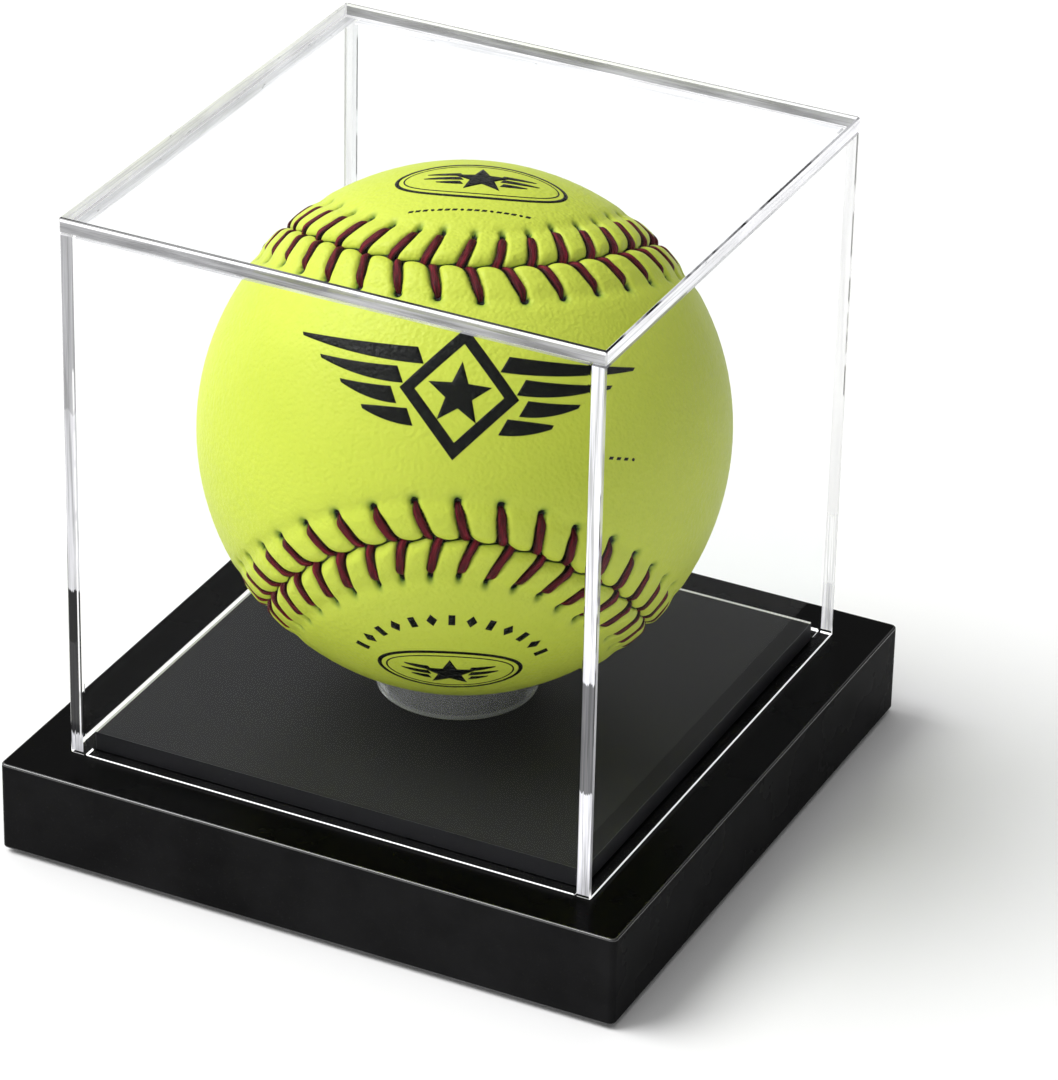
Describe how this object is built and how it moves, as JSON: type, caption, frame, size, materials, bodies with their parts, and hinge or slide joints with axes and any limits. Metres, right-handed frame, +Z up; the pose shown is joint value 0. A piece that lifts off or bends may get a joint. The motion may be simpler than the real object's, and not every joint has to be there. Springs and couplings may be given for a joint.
{
  "type": "ball display case",
  "caption": "Clear cube cover over a stepped black base, with a clear ring cradle under a stitched leather ball. The cover lifts off.",
  "frame": {"origin": "centre of the case at the bottom of its foot pads, on the surface that it stands on", "axes": "+Z up through the cover's top, -Y out of the front wall, +X out of the right wall"},
  "size_m": [0.125, 0.125, 0.128],
  "materials": {
    "black_lacquer": "satin black lacquer on a solid board, with thin worn highlights on its rounded edges",
    "black_acrylic": "black acrylic sheet, polished, with a soft reflection",
    "foot_rubber": "matt black rubber pads",
    "clear_acrylic": "clear cast acrylic sheet with polished edges",
    "ring_acrylic": "clear acrylic tube with a slightly hazy cut edge",
    "ball_core": "moulded light core, hidden under the leather",
    "yellow_leather": "optic yellow-green leather with a fine pebble grain, satin, with black printed shapes",
    "red_thread": "thick waxed dark red thread, twisted"
  },
  "bodies": {
    "base": {"plinth": "black_lacquer", "platform": "black_acrylic", "foot_pad_1": "foot_rubber", "foot_pad_2": "foot_rubber", "foot_pad_3": "foot_rubber", "foot_pad_4": "foot_rubber"},
    "cover": {"cover_front": "clear_acrylic", "cover_back": "clear_acrylic", "cover_left": "clear_acrylic", "cover_right": "clear_acrylic", "cover_top": "clear_acrylic"},
    "cradle": {"cradle_ring": "ring_acrylic"},
    "ball": {"ball_core": "ball_core", "leather_front": "yellow_leather", "leather_rear": "yellow_leather", "seam_thread": "red_thread"}
  },
  "joints": [
    {"name": "cover_lift", "type": "slide", "parent": "base", "child": "cover", "axis": [0, 0, 1], "range_m": [0, 0.13]},
    {"name": "cradle_turn", "type": "hinge", "parent": "base", "child": "cradle", "pos_m": [0, 0, 0.0224], "axis": [0, 0, 1], "continuous": true},
    {"name": "ball_roll", "type": "hinge", "parent": "cradle", "child": "ball", "pos_m": [0, 0, 0.0751], "axis": [1, 0, 0], "continuous": true}
  ]
}
